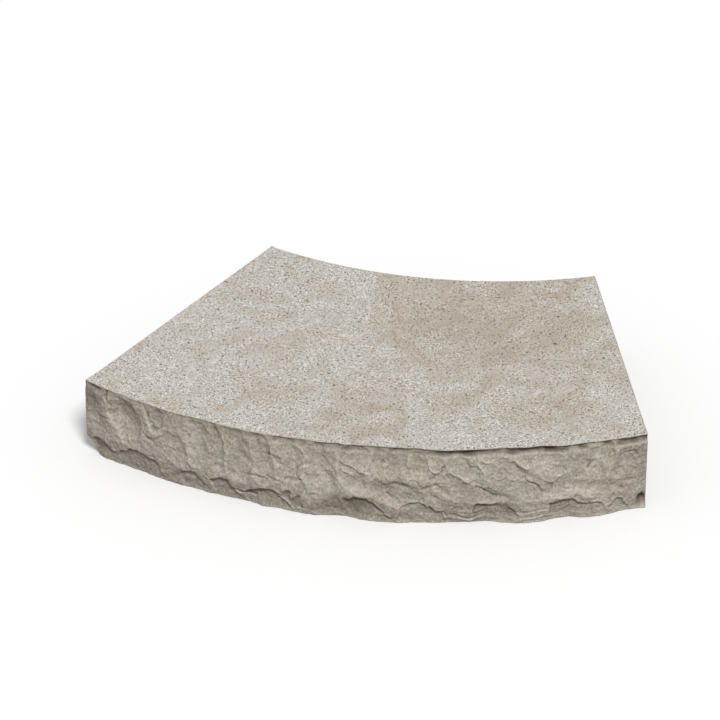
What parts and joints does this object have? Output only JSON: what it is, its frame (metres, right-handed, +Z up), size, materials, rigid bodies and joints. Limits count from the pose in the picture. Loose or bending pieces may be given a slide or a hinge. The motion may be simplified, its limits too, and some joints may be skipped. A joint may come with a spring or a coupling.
{
  "type": "fire pit coping stone",
  "caption": "Ring-segment coping slab of cast concrete with a flat top, a concave inner edge, straight joint faces and a rock-faced outer edge.",
  "frame": {"origin": "on the bed, half way between the outer edge at mid length and the inner corners", "axes": "+Z up through the top face, +X along the stone from joint face to joint face, -Y out of the rock-faced outer edge, +Y towards the middle of the fire pit"},
  "size_m": [0.5166, 0.325, 0.076],
  "materials": {
    "cast_concrete": "wet-cast concrete, fine-grained top and split rock face"
  },
  "bodies": {
    "root": {"coping_stone": "cast_concrete"}
  },
  "joints": []
}
